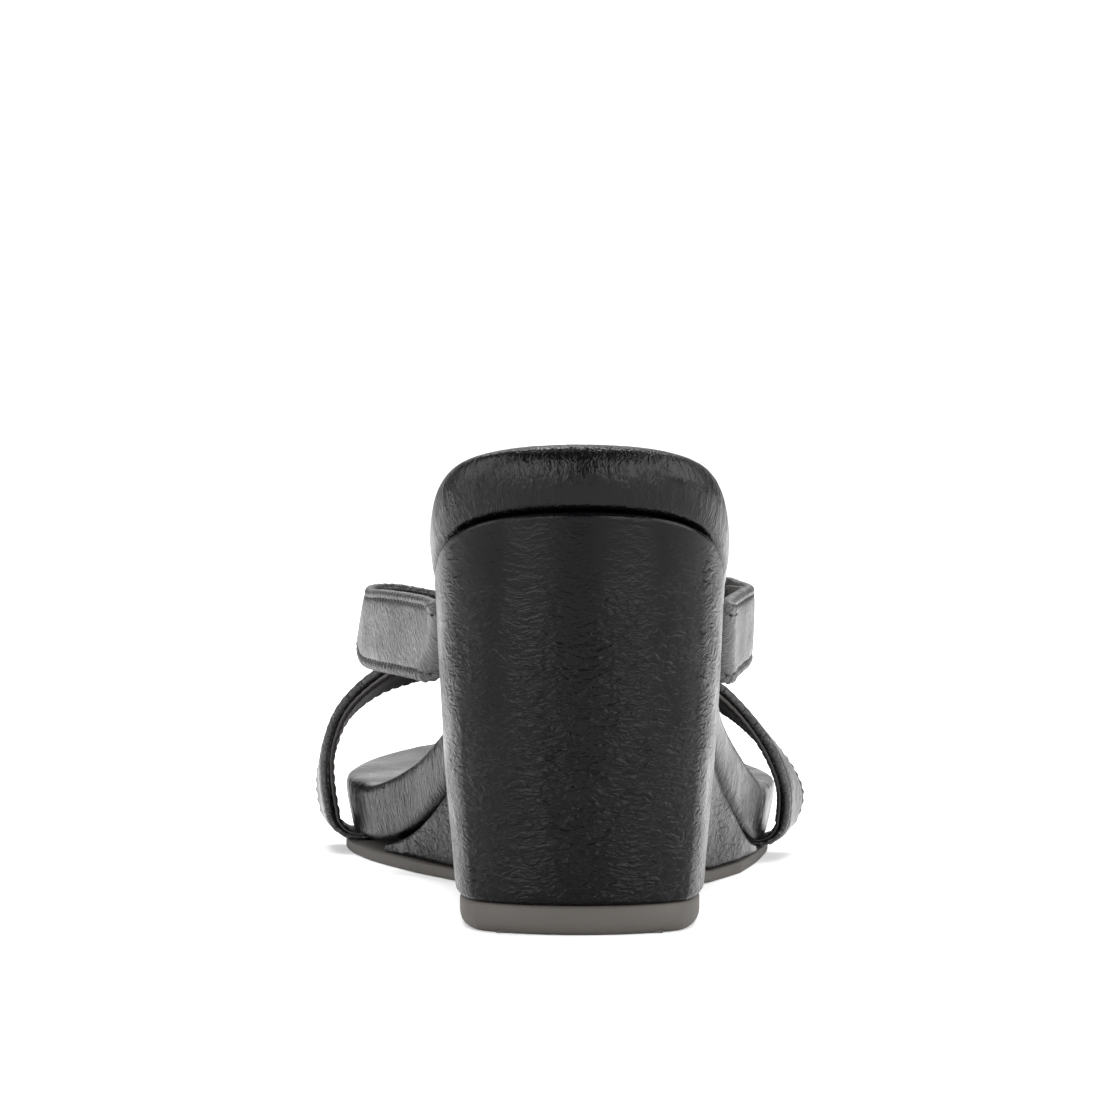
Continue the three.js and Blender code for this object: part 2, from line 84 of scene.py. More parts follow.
def catmull(points, u, closed=False, centripetal=True):
    # Catmull-Rom through the points, at each u from 0 to 1
    p = np.asarray(points, float)
    count = len(p)
    spans = count if closed else count - 1
    at = np.clip(np.asarray(u, float), 0, 1) * spans
    i = np.minimum(at.astype(int), spans - 1)
    w = (at - i)[:, None]
    if closed:
        p0, p1, p2, p3 = (p[(i + k) % count] for k in (-1, 0, 1, 2))
    else:
        padded = np.vstack([2 * p[0] - p[1], p, 2 * p[-1] - p[-2]])
        p0, p1, p2, p3 = (padded[i + k] for k in (0, 1, 2, 3))
    if centripetal:
        d0, d1, d2 = (np.maximum(np.linalg.norm(b - a, axis=1), 1e-6)[:, None] ** 0.5
                      for a, b in ((p0, p1), (p1, p2), (p2, p3)))
        t1 = ((p1 - p0) / d0 - (p2 - p0) / (d0 + d1) + (p2 - p1) / d1) * d1
        t2 = ((p2 - p1) / d1 - (p3 - p1) / (d1 + d2) + (p3 - p2) / d2) * d1
    else:
        t1, t2 = (p2 - p0) / 2, (p3 - p1) / 2
    return p1 + t1 * w + (3 * (p2 - p1) - 2 * t1 - t2) * w**2 + (2 * (p1 - p2) + t1 + t2) * w**3


def bezier(points, count):
    t = np.linspace(0, 1, count)[:, None]
    a, b, c, d = (np.array(p, float) for p in points)
    return (1 - t) ** 3 * a + 3 * (1 - t) ** 2 * t * b + 3 * (1 - t) * t**2 * c + t**3 * d


seamLine = bezier([
    (0, sole["heelRise"]),
    (along(55), sole["heelRise"] * 0.805),
    (along(100), sole["outsole"]),
    (along(152), sole["outsole"]),
], 600)


def toeLift(y):
    # the toe springs up off the floor
    return sole["toeSpring"] * np.maximum(0, (y - along(185)) / along(45)) ** 2


def seamHeight(y):
    return np.interp(y, seamLine[:, 0], seamLine[:, 1]) + toeLift(y)


def layer(thick, y):
    # height of a layer this far above the seam, square to the slope
    y = np.asarray(y, float)
    slope = seamHeight(np.maximum(y, 0) + 1) - seamHeight(np.maximum(y, 0))
    return seamHeight(y) + thick * np.hypot(1, slope)


def undersideHeight(y):
    # the wedge's underside: up from the top lift's level over the arch, and down to the outsole's
    start, end = sole["topLiftLength"] + 1, along(104)
    heelBase, foreBase = sole["topLift"] + sole["fit"], sole["outsole"] + sole["fit"]
    u = np.clip((y - start) / (end - start), 0, 1)
    line = heelBase + (foreBase - heelBase) * u * u * (3 - 2 * u)
    return line + sole["arch"] * np.sin(np.pi * u) ** 2 + toeLift(y)


# stations of the outline, from the heel's back along the inner side to the toe and back along the outer side
heel, ballIn, ballOut = sole["heelHalf"], sole["ballInner"], sole["ballOuter"]
waistIn, waistOut = sole["waistInner"], sole["waistOuter"]
outlinePoints = [
    (0, 0), (-0.52 * heel, 3.8), (-0.87 * heel, 14), (-heel, 32), (-waistIn - 0.4, 62),
    (-waistIn + 0.2, 92), (-0.68 * ballIn, 119), (-0.9 * ballIn, 147), (-ballIn, 172), (-0.91 * ballIn, 203),
    (-0.66 * ballIn, 221), (-0.26 * ballIn, 230), (0.33 * ballOut, 225), (0.76 * ballOut, 208),
    (ballOut, 174), (0.965 * ballOut, 148), (0.84 * ballOut, 119), (waistOut + 0.8, 92),
    (waistOut - 0.3, 62), (heel, 32), (0.87 * heel, 14), (0.52 * heel, 3.8),
]
outlineSteps = 4401
outlineFine = catmull([(x, along(y)) for x, y in outlinePoints], np.linspace(0, 1, outlineSteps), closed=True)


def evenly(points, count, closed=False):
    # resample a line at equal steps
    steps = np.r_[0, np.cumsum(np.linalg.norm(np.diff(points, axis=0), axis=1))]
    at = np.linspace(0, steps[-1], count + 1 if closed else count)
    if closed:
        at = at[:-1]
    return np.stack([np.interp(at, steps, points[:, k]) for k in range(points.shape[1])], axis=1)


def inwardOf(points):
    # square to a closed line that runs heel, inner side, toe, outer side
    ahead = np.roll(points, -1, axis=0) - np.roll(points, 1, axis=0)
    ahead /= np.linalg.norm(ahead, axis=1)[:, None]
    return np.stack([ahead[:, 1], -ahead[:, 0]], axis=1)


def sideX(side, y):
    # the outline's x on the inner (-1) or outer (1) side
    half = len(outlineFine) // 2
    line = outlineFine[: half + 1] if side < 0 else outlineFine[half:][::-1]
    return np.interp(y, line[:, 1], line[:, 0])


def baseInset(y):
    # how far the wedge's base is set in from the outline
    share = np.clip((y - along(88)) / along(32), 0, 1)
    back = 2.5 * np.maximum(0, 1 - y / 14)
    return (sole["draft"] + back) * (1 - share) + 0.8 * share


def softNoise(u, v, seed):
    # smooth value noise from -1 to 1, one bump a unit; it repeats after this many
    size = 128
    table = np.random.default_rng(seed).random((size, size)) * 2 - 1
    iu, iv = np.floor(u).astype(int), np.floor(v).astype(int)
    fu, fv = u - iu, v - iv
    fu, fv = fu * fu * (3 - 2 * fu), fv * fv * (3 - 2 * fv)
    a = table[iu % size, iv % size] * (1 - fu) + table[(iu + 1) % size, iv % size] * fu
    b = table[iu % size, (iv + 1) % size] * (1 - fu) + table[(iu + 1) % size, (iv + 1) % size] * fu
    return a * (1 - fv) + b * fv


uvUnit = 0.01  # the map "lay" holds millimetres times this


def makePiece(name, points, faces, uv=None):
    # points in the sole's own millimetres: heel back at y 0, middle of the heel at x 0
    mesh = bpy.data.meshes.new(name)
    place = (np.asarray(points) + [centreLine, heelBack, 0]) * mm
    mesh.from_pydata(place.tolist(), [], [list(f) for f in faces])
    if uv is not None:
        layerUv = mesh.uv_layers.new(name="lay")
        corner = np.zeros(len(mesh.loops), int)
        mesh.loops.foreach_get("vertex_index", corner)
        layerUv.data.foreach_set("uv", np.asarray(uv)[corner].ravel())
    mesh.polygons.foreach_set("use_smooth", [True] * len(mesh.polygons))
    mesh.update()
    piece = bpy.data.objects.new(name, mesh)
    bpy.context.scene.collection.objects.link(piece)
    return piece


def gridFaces(rows, columns, closedRows=False, closedColumns=False):
    # quads of a rows x columns grid of vertices
    i = np.arange(rows if closedRows else rows - 1)[:, None]
    j = np.arange(columns if closedColumns else columns - 1)[None, :]
    i2, j2 = (i + 1) % rows, (j + 1) % columns
    corners = (i * columns + j, i * columns + j2, i2 * columns + j2, i2 * columns + j)
    return np.stack(np.broadcast_arrays(*corners), -1).reshape(-1, 4).tolist()


def ringsPiece(name, outline, levels, columns):
    # a body on a sole outline: rings from the first level to the last, each end closed by rows across
    inward = inwardOf(outline)
    count = len(outline)
    half = count // 2
    rings = []
    for level in levels:
        inset, height = level[0], level[1]
        at = outline + inward * (inset(outline[:, 1])[:, None] if callable(inset) else inset)
        z = height(at[:, 1]) if callable(height) else np.full(count, float(height))
        rings.append(np.column_stack([at, z]))
    points = np.vstack(rings)
    faces = gridFaces(len(levels), count, closedColumns=True)
    perimeter = np.r_[0, np.cumsum(np.linalg.norm(np.diff(outline, axis=0), axis=1))]
    uv = np.column_stack([np.tile(perimeter, len(levels)), np.repeat(np.arange(len(levels)), count)])
    for which, flip in ((0, False), (len(levels) - 1, True)):
        ring, height = rings[which], levels[which][1]
        crown = levels[which][2] if len(levels[which]) > 2 else None
        first = which * count
        rows = [[first] * (columns + 1)]
        left, right = ring[1:half], ring[:half:-1]
        share = np.linspace(0, 1, columns + 1)[None, 1:-1, None]
        inner = left[:, None, :] * (1 - share) + right[:, None, :] * share
        inner[..., 2] = height(inner[..., 1]) if callable(height) else height
        if crown:
            inner[..., 2] += crown(inner[..., 1], np.broadcast_to(share[..., 0], inner.shape[:2]))
        start = len(points)
        points = np.vstack([points, inner.reshape(-1, 3)])
        uv = np.vstack([uv, inner.reshape(-1, 3)[:, :2]])
        for i in range(half - 1):
            a = start + i * (columns - 1)
            rows.append([first + 1 + i, *range(a, a + columns - 1), first + count - 1 - i])
        rows.append([first + half] * (columns + 1))
        for r0, r1 in zip(rows[:-1], rows[1:]):
            for j in range(columns):
                quad = [r0[j], r0[j + 1], r1[j + 1], r1[j]]
                if flip:
                    quad.reverse()
                quad = [v for k, v in enumerate(quad) if v != quad[k - 1]]
                if len(quad) > 2:
                    faces.append(quad)
    return makePiece(name, points, faces, uv * uvUnit)


def pointOutwards(piece):
    # one closed body: turn every face to the outside
    work = bmesh.new()
    work.from_mesh(piece.data)
    bmesh.ops.recalc_face_normals(work, faces=work.faces)
    work.to_mesh(piece.data)
    work.free()


def linear(text):
    # sRGB hex to linear
    parts = [int(text[i:i + 2], 16) / 255 for i in (1, 3, 5)]
    return [c / 12.92 if c <= 0.04045 else ((c + 0.055) / 1.055) ** 2.4 for c in parts] + [1]


def addNode(tree, kind, values=None, **settings):
    # values: socket name or number to a value, or to (node, output) for a link
    node = tree.nodes.new(kind)
    for key, value in settings.items():
        setattr(node, key, value)
    for key, value in (values or {}).items():
        socket = node.inputs[key]
        if isinstance(value, tuple) and len(value) == 2 and hasattr(value[0], "outputs"):
            tree.links.new(value[0].outputs[value[1]], socket)
        else:
            socket.default_value = value
    return node


def newMaterial(name, values):
    material = bpy.data.materials.new(name)
    material.use_nodes = True
    tree = material.node_tree
    tree.nodes.clear()
    shader = addNode(tree, "ShaderNodeBsdfPrincipled", values)
    addNode(tree, "ShaderNodeOutputMaterial", {"Surface": (shader, "BSDF")})
    return material, tree, shader


def plug(tree, node, output, shader, socket):
    tree.links.new(node.outputs[output], shader.inputs[socket])


def crinkledPatent(name, look):
    # Patent leather: pigmented hide under a poured, cured gloss film that crazed as it was boarded.
    # The eye gets near-black colour, soft lights broken by fine wrinkles, and longer pressed creases.
    bend, warpScale, patchScale = 3.5, 0.16, 0.07  # millimetres the grain wanders; noises a millimetre
    material, tree, shader = newMaterial(name, {
        "Base Color": linear(look["colour"]),
        "Roughness": look["roughness"],
        "IOR": 1.5,
        "Specular IOR Level": look["shine"],
        "Coat Weight": look["film"],
        "Coat Roughness": 0.1,
        "Coat IOR": 1.5,
    })
    place = addNode(tree, "ShaderNodeTexCoord")
    unit = 1 / mm if look["lay"] == "Object" else 1 / uvUnit
    millimetres = addNode(tree, "ShaderNodeMapping", {"Vector": (place, look["lay"]),
                                                      "Scale": (unit, unit, unit)})
    warp = addNode(tree, "ShaderNodeTexNoise", {"Vector": (millimetres, 0), "Scale": warpScale,
                                                "Detail": 3.0})
    shifted = addNode(tree, "ShaderNodeVectorMath", {0: (warp, "Color"), 1: (bend, bend, bend)},
                      operation="MULTIPLY")
    bent = addNode(tree, "ShaderNodeVectorMath", {0: (millimetres, 0), 1: (shifted, 0)}, operation="ADD")
    turned = addNode(tree, "ShaderNodeVectorRotate", {"Vector": (bent, 0), "Axis": (0, 0, 1),
                                                     "Angle": math.radians(look["turn"])})
    patch = addNode(tree, "ShaderNodeTexNoise", {"Vector": (millimetres, 0), "Scale": patchScale,
                                                 "Detail": 2.0})
    patchy = addNode(tree, "ShaderNodeMapRange", {"Value": (patch, 0), "From Min": 0.35, "From Max": 0.62,
                                                 "To Min": 0.35, "To Max": 1.0})
    if look["calmAbove"]:
        height = addNode(tree, "ShaderNodeSeparateXYZ", {"Vector": (millimetres, 0)})
        calm = addNode(tree, "ShaderNodeMapRange", {"Value": (height, "Z"), "From Min": look["calmAbove"],
                                                    "From Max": look["calmAbove"] + 25, "To Min": 1.0,
                                                    "To Max": 0.25})
        patchy = addNode(tree, "ShaderNodeMath", {0: (patchy, 0), 1: (calm, 0)}, operation="MULTIPLY")
    normal = None
    for size, depth in ((1.0, look["depth"]), (0.42, look["depth"] * 0.4)):
        scale = tuple(1 / (g * size) for g in look["grain"])
        stretched = addNode(tree, "ShaderNodeMapping", {"Vector": (turned, 0), "Scale": scale})
        fine = addNode(tree, "ShaderNodeTexNoise", {"Vector": (stretched, 0), "Scale": 1.0, "Detail": 1.5,
                                                   "Roughness": 0.5, "Distortion": 0.35})
        away = addNode(tree, "ShaderNodeMath", {0: (fine, 0), 1: 0.5}, operation="SUBTRACT")
        away = addNode(tree, "ShaderNodeMath", {0: (away, 0)}, operation="ABSOLUTE")
        valley = addNode(tree, "ShaderNodeMapRange", {"Value": (away, 0), "From Min": 0.0, "From Max": 0.22,
                                                      "To Min": 0.0, "To Max": 1.0},
                         interpolation_type="SMOOTHSTEP")
        masked = addNode(tree, "ShaderNodeMath", {0: (valley, 0), 1: (patchy, 0)}, operation="MULTIPLY")
        inputs = {"Height": (masked, 0), "Strength": 1.0, "Distance": depth * mm}
        if normal:
            inputs["Normal"] = (normal, 0)
        normal = addNode(tree, "ShaderNodeBump", inputs)
    for angle in (35, -42):
        leaned = addNode(tree, "ShaderNodeVectorRotate", {"Vector": (bent, 0), "Axis": (0, 1, 0),
                                                         "Angle": math.radians(angle)})
        long = addNode(tree, "ShaderNodeMapping", {"Vector": (leaned, 0), "Scale": (1 / 30, 1 / 30, 1 / 9)})
        cells = addNode(tree, "ShaderNodeTexVoronoi", {"Vector": (long, 0), "Scale": 1.0},
                        feature="DISTANCE_TO_EDGE")
        crease = addNode(tree, "ShaderNodeMapRange", {"Value": (cells, 0), "From Min": 0.0, "From Max": 0.035,
                                                      "To Min": 0.0, "To Max": 1.0},
                         interpolation_type="SMOOTHSTEP")
        kept = addNode(tree, "ShaderNodeMath", {0: (crease, 0), 1: (patchy, 0)}, operation="MULTIPLY")
        normal = addNode(tree, "ShaderNodeBump", {"Height": (kept, 0), "Strength": look["creases"],
                                                  "Distance": 0.05 * mm, "Normal": (normal, 0)})
    plug(tree, normal, 0, shader, "Normal")
    plug(tree, normal, 0, shader, "Coat Normal")
    worn = addNode(tree, "ShaderNodeMapRange", {"Value": (patch, 0), "From Min": 0.3, "From Max": 0.7,
                                                "To Min": look["roughness"] - 0.05,
                                                "To Max": look["roughness"] + 0.08})
    plug(tree, worn, 0, shader, "Roughness")
    return material


def mouldedRubber(name, colour):
    # Thermoplastic rubber, injection moulded in a blasted tool.
    # The eye gets a matt, faintly pebbled face, dust-grey where light grazes.
    material, tree, shader = newMaterial(name, {"Base Color": linear(colour), "Roughness": 0.72, "IOR": 1.5})
    place = addNode(tree, "ShaderNodeTexCoord")
    pebble = addNode(tree, "ShaderNodeTexNoise", {"Vector": (place, "Object"), "Scale": 1.8 / mm,
                                                  "Detail": 2.0})
    cloud = addNode(tree, "ShaderNodeTexNoise", {"Vector": (place, "Object"), "Scale": 0.09 / mm,
                                                 "Detail": 3.0})
    tint = addNode(tree, "ShaderNodeMix", {"Factor": (cloud, 0), 6: linear(colour), 7: linear("#332f2b")},
                   data_type="RGBA")
    plug(tree, tint, 2, shader, "Base Color")
    bump = addNode(tree, "ShaderNodeBump", {"Height": (pebble, 0), "Strength": 0.5, "Distance": 0.06 * mm})
    plug(tree, bump, 0, shader, "Normal")
    return material


def plainStuff(name, colour, second, scale, roughness, depth, metallic=0.0):
    # inner pieces: two close colours and a fine grain of the given size
    material, tree, shader = newMaterial(name, {"Base Color": linear(colour), "Roughness": roughness,
                                                "Metallic": metallic})
    place = addNode(tree, "ShaderNodeTexCoord")
    grain = addNode(tree, "ShaderNodeTexNoise", {"Vector": (place, "Object"), "Scale": 1000 / scale,
                                                 "Detail": 3.0})
    tint = addNode(tree, "ShaderNodeMix", {"Factor": (grain, 0), 6: linear(colour), 7: linear(second)},
                   data_type="RGBA")
    plug(tree, tint, 2, shader, "Base Color")
    bump = addNode(tree, "ShaderNodeBump", {"Height": (grain, 0), "Strength": 0.4, "Distance": depth * mm})
    plug(tree, bump, 0, shader, "Normal")
    return material


wedgePatent = crinkledPatent("crinkledPatentWedge", {
    "colour": "#020203", "roughness": 0.29, "shine": 0.1, "film": 0.02, "lay": "Object", "turn": 0,
    "grain": (4.0, 4.0, 1.5), "depth": 0.2, "creases": 0.7, "calmAbove": 52,
})
footbedPatent = crinkledPatent("crinkledPatentFootbed", {
    "colour": "#040405", "roughness": 0.24, "shine": 0.12, "film": 0.04, "lay": "Object", "turn": 0,
    "grain": (1.1, 1.3, 4.0), "depth": 0.1, "creases": 0.3, "calmAbove": 0,
})
strapPatent = crinkledPatent("crinkledPatentStrap", {
    "colour": "#0b0b0d", "roughness": 0.33, "shine": 0.36, "film": 0.1, "lay": "UV", "turn": -38,
    "grain": (0.9, 4.5, 1.0), "depth": 0.3, "creases": 0.0, "calmAbove": 0,
})
# dyed, glazed lining leather; the other inner stuffs are raw
strapLiner = plainStuff("sheepskinLining", "#171413", "#221d1b", 0.8, 0.55, 0.1)
thread = plainStuff("bondedNylonThread", "#030304", "#0a0a0c", 0.3, 0.75, 0.05)
soleRubber = mouldedRubber("mouldedRubberSole", "#2a2724")
# painted light: the lift is the outsole's rubber given a lighter colour, which stands in for the weak light
# on its face
liftRubberPaintedLight = mouldedRubber("mouldedRubberLiftPaintedLight", "#383531")
mouldedAbs = plainStuff("mouldedAbs", "#b9b2a2", "#a9a292", 6.0, 0.55, 0.05)
fibreBoard = plainStuff("pressedFibreBoard", "#9b7d58", "#7c6142", 0.7, 0.9, 0.2)
latexFoam = plainStuff("latexFoam", "#d8cda8", "#c9bd95", 0.9, 0.95, 0.3)
cottonTape = plainStuff("cottonTape", "#cfc9bb", "#bdb6a6", 0.5, 0.9, 0.15)
brightSteel = plainStuff("springSteel", "#a9abad", "#8f9194", 0.8, 0.32, 0.02, metallic=1.0)
print("materials made")


footbed = {
    "around": 1500,
    "columns": 26,
    "dish": 0.5,  # hollow of the top surface
    "rim": 5.2,  # how far the rounded rim reaches in at the top, and at its foot
    "foot": 3.4,
    "wallLean": 0.9,  # forefoot wall, set in at its foot
    "overhang": 0.8,  # its upper edge stands out this far
    "wrinkleDepth": 0.16,
    "wrinklePitch": 1.6,
    "fill": 0.9,
}


def smoothShare(y, low, high):
    t = np.clip((np.asarray(y, float) - low) / (high - low), 0, 1)
    return t * t * (3 - 2 * t)


def makeFootbed():
    # leather skin, lasted round the foam and turned in under its edge
    # the rim is round at the heel and crisp at the forefoot
    top, skin, rim = sole["footbed"], sole["leather"], footbed["rim"]
    outline = evenly(outlineFine, footbed["around"], closed=True)
    low, high = along(98), along(138)

    def level(inset, share, extra=0.0, foreInset=None, foreShare=None):
        def setIn(y):
            f = smoothShare(y, low, high)
            return inset * (1 - f) + (inset if foreInset is None else foreInset) * f

        def height(y):
            f = smoothShare(y, low, high)
            at = share * (1 - f) + (share if foreShare is None else foreShare) * f
            return layer(groove, y) * (1 - at) + layer(top, y) * at + extra
        return setIn, height

    steps = 28
    lean, out = footbed["wallLean"], footbed["overhang"]
    corner = bezier([(lean * 0.3 - out * 0.7, 0.62), (-out, 0.92), (-out * 0.9, 1.0), (2.4, 1.0)], 300)
    foot = bezier([(rim, 0.0), (lean + 0.9, 0.0), (lean + 0.1, 0.02), (lean, 0.14)], 100)
    fore = np.vstack([foot, corner, [(rim, 1.0)]])
    fore = evenly(fore * [1, 10], steps) / [1, 10]
    edge = []
    for k in range(steps):
        a = -math.pi / 2 + math.pi * k / (steps - 1)
        reach, power = (footbed["foot"], 0.5) if a < 0 else (rim, 0.72)
        side = 0 if k % (steps - 1) == 0 else math.cos(a) ** power
        edge.append(level(reach * (1 - side), 0.5 + 0.5 * math.sin(a), 0.0, fore[k, 0], fore[k, 1]))
    inner = [level(rim + skin, 0.86), level(skin + 3, 0.7), level(skin + 3, 0.25), level(5, 0.1),
             level(10.8, 0.1)]
    flange = [level(11, 0.06), level(11, 0.02), level(9, 0.0)]
    crown = [level(6.6, 1, 0.05), level(8.5, 1, 0.0), level(11, 1, -0.1), level(14, 1, -0.2)]

    def dish(y, share):
        ends = smoothShare(y, 12, 40) * smoothShare(-y, -218, -190)
        return -footbed["dish"] * np.sin(np.pi * share) ** 2 * ends

    levels = inner + flange + edge + crown
    levels[-1] = (*levels[-1], dish)
    piece = ringsPiece("footbedSkin", outline, levels, footbed["columns"])
    rimWrinkles(piece, len(inner) + len(flange), len(edge), footbed["around"])
    return piece


def rimWrinkles(piece, first, count, around):
    # small upright folds where the leather is drawn over the rim
    mesh = piece.data
    co = np.zeros(len(mesh.vertices) * 3)
    mesh.vertices.foreach_get("co", co)
    co = co.reshape(-1, 3)
    normal = np.zeros(len(mesh.vertices) * 3)
    mesh.vertices.foreach_get("normal", normal)
    normal = normal.reshape(-1, 3)
    span = np.arange(first * around, (first + count) * around)
    u = np.tile(np.arange(around), count) * (560.0 / around)
    v = np.repeat(np.linspace(0, 1, count), around)
    lean = u + 1.2 * softNoise(u / 9, v * 2, 3)
    folds = 0.6 * softNoise(lean / footbed["wrinklePitch"], v * 2.2, 5)
    folds += 0.4 * softNoise(lean / 0.9, v * 3, 6)
    folds = -np.abs(folds) ** 0.8
    patch = 0.35 + 0.65 * np.clip(softNoise(u / 14, v * 1.5, 8) + 0.5, 0, 1)
    fade = np.sin(np.pi * np.clip(v * 0.92 + 0.02, 0, 1)) ** 0.7 * (1.15 - 0.6 * v)
    puff = 0.25 * softNoise(u / 16, v * 1.2, 11)
    shift = (footbed["wrinkleDepth"] * folds * patch + 0.12 * puff) * fade * mm
    co[span] += normal[span] * shift[:, None]
    mesh.vertices.foreach_set("co", co.ravel())
    mesh.update()


footbedSkin = makeFootbed()
pointOutwards(footbedSkin)
footbedSkin.data.materials.append(footbedPatent)
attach(footbedSkin, "root")
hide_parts("footbed_cover")
print("footbed made")


wedge = {
    "around": 620,
    "down": 110,
    "seamInset": 0.9,
    "turnIn": 8.0,
    "topTurn": 9.0,  # lap over the wedge's top, under the footbed
    "topLap": 0.4,
    "edgeRound": 1.0,
    "baseRound": 1.6,
    "waves": 0.10,  # depth of the slow waves in the leather
}


def makeWedgeWrap():
    # one sheet round the wedge, rolled in at the top edge and turned under at the base
    thin = 1.0
    y = np.linspace(along(100), along(152), 400)
    endY = y[np.argmax(seamHeight(y) - undersideHeight(y) < thin)]
    half = len(outlineFine) // 2
    inner = outlineFine[: half + 1]
    outer = outlineFine[half:]
    line = np.vstack([outer[outer[:, 1] < endY], inner[inner[:, 1] < endY]])
    line = evenly(line, wedge["around"])
    tangent = np.gradient(line, axis=0)
    tangent /= np.linalg.norm(tangent, axis=1)[:, None]
    inward = np.stack([tangent[:, 1], -tangent[:, 0]], axis=1)
    skin = sole["leather"]
    seamIn, baseIn = wedge["seamInset"], baseInset(line[:, 1])
    low, high = undersideHeight(line[:, 1]), seamHeight(line[:, 1])
    drop = np.maximum(high - low, 0.8)
    round1 = np.minimum(wedge["edgeRound"], drop * 0.25)
    round2 = np.minimum(wedge["baseRound"], drop * 0.3)
    core = high + 0.04
    high = layer(wedge["topLap"], line[:, 1])
    path = [(seamIn + wedge["topTurn"], core), (seamIn + wedge["topTurn"], high), (seamIn + 4, high)]
    for k in range(7):  # top edge
        a = math.pi / 2 * k / 6
        path.append((seamIn + round1 * (1 - math.sin(a)), high - round1 * (1 - math.cos(a))))
    for k in range(1, wedge["down"]):  # wall
        t = k / wedge["down"]
        z = high - round1 - (drop - round1 - round2) * t
        bulge = 0.5 * math.sin(math.pi * t) * np.clip(drop / 60, 0, 1)
        path.append((seamIn + (baseIn - seamIn) * (high - z) / drop - bulge, z))
    for k in range(8):  # base edge
        a = math.pi / 2 * k / 7
        path.append((baseIn + round2 * (1 - math.cos(a)), low + round2 * (1 - math.sin(a))))
    turn = np.minimum(wedge["turnIn"], 3 + drop)
    path += [(baseIn + turn, low), (baseIn + turn, low + skin * 0.7), (baseIn + round2 + skin, low + skin)]
    path += [(baseIn + skin, low + skin + round2), (seamIn + skin, core - round1 - skin)]
    path.append((seamIn + skin, core))
    inset = np.stack([np.broadcast_to(p[0], len(line)) for p in path], axis=1)
    z = np.stack([np.broadcast_to(p[1], len(line)) for p in path], axis=1)
    u = np.broadcast_to(np.linspace(0, 330, len(line))[:, None], z.shape)
    slow = softNoise(u / 21, z / 15, 21) + 0.45 * softNoise(u / 8, z / 6, 22)
    wall = np.zeros(len(path))
    wall[7:wedge["down"] + 12] = 1
    tall = np.clip(drop / 20, 0, 1)[:, None]
    lower = 0.5 + 0.8 * np.clip((high[:, None] - z) / 60, 0, 1)
    inset = inset + wedge["waves"] * slow * wall * tall * lower
    xy = line[:, None, :] + inward[:, None, :] * inset[..., None]
    grid = np.concatenate([xy, z[..., None]], axis=2)
    rows, columns = grid.shape[:2]
    faces = gridFaces(rows, columns, closedColumns=True)
    faces.append(list(range(columns)))
    faces.append(list(range((rows - 1) * columns, rows * columns))[::-1])
    uv = np.stack([u, z], axis=2).reshape(-1, 2) * uvUnit
    return makePiece("wedgeWrap", grid.reshape(-1, 3), faces, uv)


wedgeWrap = makeWedgeWrap()
pointOutwards(wedgeWrap)
wedgeWrap.data.materials.append(wedgePatent)
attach(wedgeWrap, "root")
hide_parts("wedge_wrap")
print("wedge made")


tread = {
    "border": 3.2,
    "depth": 0.6,
    "pitch": 3.6,
    "width": 1.7,
    "welt": 1.4,
    "cement": 0.2,  # closes the frame's gap between rubber and wedge
}


def cutOutline(low, high, count, inset):
    # the outline set in, then cut straight across at two stations; it starts at the middle of its rear edge
    half = len(outlineFine) // 2
    setIn = outlineFine + inwardOf(outlineFine) * inset(*outlineFine.T)[:, None]
    inner = setIn[: half + 1]
    outer = setIn[half:]
    inner = inner[(inner[:, 1] >= low) & (inner[:, 1] <= high)]
    outer = outer[(outer[:, 1] >= low) & (outer[:, 1] <= high)]
    start = np.array([[(inner[0, 0] + outer[-1, 0]) / 2, inner[0, 1]]])
    middle = np.array([[(inner[-1, 0] + outer[0, 0]) / 2, inner[-1, 1]]])
    first = evenly(np.vstack([start, inner, middle]), count // 2 + 1)
    second = evenly(np.vstack([middle, outer, start]), count // 2 + 1)
    return np.vstack([first[:-1], second[:-1]])


def outsoleInset(x, y):
    # flush with the wedge at the waist, a welt's width proud of the footbed at the inner forefoot
    return baseInset(y) - tread["welt"] * smoothShare(y, along(95), along(135)) * smoothShare(-x, 0, 20)


def makeOutsole():
    outline = cutOutline(sole["topLiftLength"] + 4, 2 * soleLength, 700, outsoleInset)
    thick = sole["outsole"] + tread["cement"]

    def level(inset, rise):
        return inset, (lambda y: undersideHeight(y) - sole["fit"] - sole["outsole"] + rise)

    border, depth = tread["border"], tread["depth"]
    profile = [(border + 0.6, depth), (border + 0.2, depth * 0.8), (border, 0.1), (border - 0.3, 0),
               (0.7, 0), (0.25, 0.12), (0.03, 0.45), (0, 0.9), (0, thick - 0.5), (0.08, thick - 0.15),
               (0.3, thick)]
    return ringsPiece("outsoleRubber", outline, [level(*place) for place in profile], 10)


def liftInset(x, y):
    return baseInset(y) + 0.8


def makeTopLift():
    outline = cutOutline(-1, sole["topLiftLength"], 520, liftInset)
    thick = sole["topLift"] + tread["cement"]
    border, depth = tread["border"], tread["depth"]
    levels = [(border + 0.6, depth), (border + 0.2, depth * 0.8), (border, 0.1), (border - 0.3, 0.0),
              (1.9, 0.0), (1.2, 0.15), (0.7, 0.5), (0.35, 1.0), (0.12, 1.7), (0, 2.6), (0, thick - 0.8),
              (0.15, thick - 0.25), (0.5, thick)]
    return ringsPiece("topLiftRubber", outline, levels, 10)


